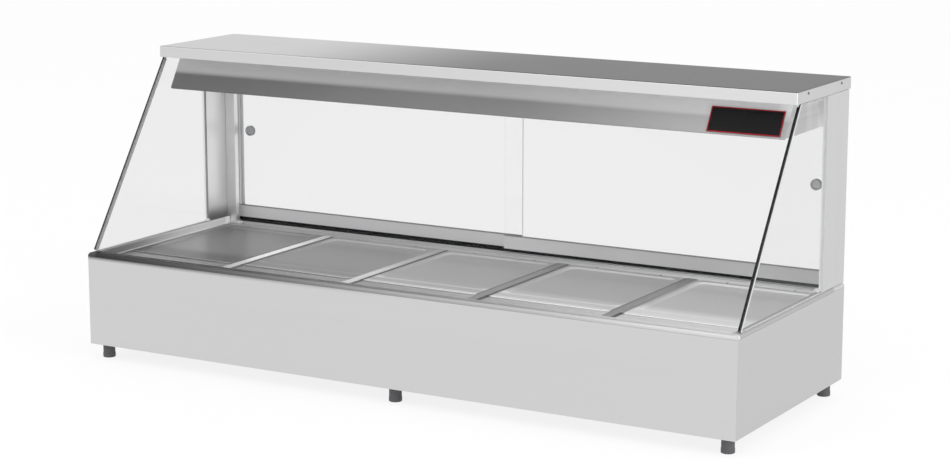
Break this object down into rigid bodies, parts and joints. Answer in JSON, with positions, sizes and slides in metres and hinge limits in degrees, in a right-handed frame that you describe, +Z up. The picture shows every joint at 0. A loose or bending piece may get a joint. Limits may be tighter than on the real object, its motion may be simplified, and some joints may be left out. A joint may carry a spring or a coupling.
{
  "type": "heated display case",
  "caption": "Countertop heated food display with sloped front glass, canopy with heat lamps, lift-out trays over a heated well and sliding glass rear doors.",
  "frame": {"origin": "centre of the footprint, on the surface that the feet stand on", "axes": "+X to the customer's right along the case, +Y back towards the operator's doors, +Z up; the sloped front glass faces -Y"},
  "size_m": [1.68, 0.6, 0.721],
  "materials": {
    "panel_steel": "satin brushed",
    "deck_steel": "satin brushed",
    "tray_steel": "satin brushed",
    "inner_steel": "plain sheet",
    "hood_steel": "satin brushed",
    "reflector_steel": "bright",
    "control_steel": "satin",
    "track_aluminium": "satin anodised",
    "rail_aluminium": "satin anodised",
    "display_glass": "clear toughened",
    "lamp_quartz": "clear",
    "holder_ceramic": "matte ceramic",
    "element_sheath": "dark oxidised sheath",
    "foot_rubber": "matte",
    "badge_plastic": "gloss",
    "black_plastic": "fine texture",
    "red_plastic": "translucent gloss"
  },
  "bodies": {
    "case": {"base_front_panel": "panel_steel", "base_side_left": "panel_steel", "base_side_right": "panel_steel", "base_rear_panel": "panel_steel", "base_floor": "inner_steel", "foot_front_left": "foot_rubber", "foot_front_centre": "foot_rubber", "foot_front_right": "foot_rubber", "foot_rear_left": "foot_rubber", "foot_rear_centre": "foot_rubber", "foot_rear_right": "foot_rubber", "deck_frame": "deck_steel", "divider_bar_1": "deck_steel", "divider_bar_2": "deck_steel", "divider_bar_3": "deck_steel", "divider_bar_4": "deck_steel", "well_tank": "inner_steel", "heating_element_left": "element_sheath", "heating_element_right": "element_sheath", "front_glass": "display_glass", "side_glass_left": "display_glass", "side_glass_right": "display_glass", "rear_post_left": "panel_steel", "rear_post_right": "panel_steel", "door_jamb_left": "panel_steel", "door_jamb_right": "panel_steel", "lower_door_track": "track_aluminium", "upper_door_track": "track_aluminium", "canopy_cover": "panel_steel", "canopy_liner": "inner_steel", "lamp_hood": "hood_steel", "lamp_reflector": "reflector_steel", "quartz_lamp_left": "lamp_quartz", "quartz_lamp_right": "lamp_quartz", "lamp_holder_left_inner": "holder_ceramic", "lamp_holder_left_outer": "holder_ceramic", "lamp_holder_right_inner": "holder_ceramic", "lamp_holder_right_outer": "holder_ceramic", "badge_plate": "badge_plastic", "control_panel": "control_steel", "thermostat": "black_plastic", "switch_housing_heat": "black_plastic", "switch_housing_lamp": "black_plastic", "pilot_lamp": "red_plastic", "cable_gland": "black_plastic"},
    "door_left": {"door_glass_left": "display_glass", "door_rail_left": "rail_aluminium", "door_pull_left": "rail_aluminium"},
    "door_right": {"door_glass_right": "display_glass", "door_rail_right": "rail_aluminium", "door_pull_right": "rail_aluminium"},
    "tray_1": {"food_tray_1": "tray_steel"},
    "tray_2": {"food_tray_2": "tray_steel"},
    "tray_3": {"food_tray_3": "tray_steel"},
    "tray_4": {"food_tray_4": "tray_steel"},
    "tray_5": {"food_tray_5": "tray_steel"},
    "knob": {"thermostat_knob": "black_plastic"},
    "rocker_heat": {"switch_rocker_heat": "red_plastic"},
    "rocker_lamp": {"switch_rocker_lamp": "red_plastic"}
  },
  "joints": [
    {"name": "door_left_slide", "type": "slide", "parent": "case", "child": "door_left", "axis": [1, 0, 0], "range_m": [0, 0.78]},
    {"name": "door_right_slide", "type": "slide", "parent": "case", "child": "door_right", "axis": [-1, 0, 0], "range_m": [0, 0.78]},
    {"name": "tray_1_lift", "type": "slide", "parent": "case", "child": "tray_1", "axis": [0, 0, 1], "range_m": [0, 0.12]},
    {"name": "tray_2_lift", "type": "slide", "parent": "case", "child": "tray_2", "axis": [0, 0, 1], "range_m": [0, 0.12]},
    {"name": "tray_3_lift", "type": "slide", "parent": "case", "child": "tray_3", "axis": [0, 0, 1], "range_m": [0, 0.12]},
    {"name": "tray_4_lift", "type": "slide", "parent": "case", "child": "tray_4", "axis": [0, 0, 1], "range_m": [0, 0.12]},
    {"name": "tray_5_lift", "type": "slide", "parent": "case", "child": "tray_5", "axis": [0, 0, 1], "range_m": [0, 0.12]},
    {"name": "thermostat_turn", "type": "hinge", "parent": "case", "child": "knob", "pos_m": [-0.63112, 0.28, 0.143], "axis": [0, -1, 0], "range_deg": [0, 270]},
    {"name": "heat_switch", "type": "hinge", "parent": "case", "child": "rocker_heat", "pos_m": [-0.686, 0.2761, 0.143], "axis": [1, 0, 0], "range_deg": [0, 16]},
    {"name": "lamp_switch", "type": "hinge", "parent": "case", "child": "rocker_lamp", "pos_m": [-0.72324, 0.2761, 0.143], "axis": [1, 0, 0], "range_deg": [0, 16]}
  ]
}
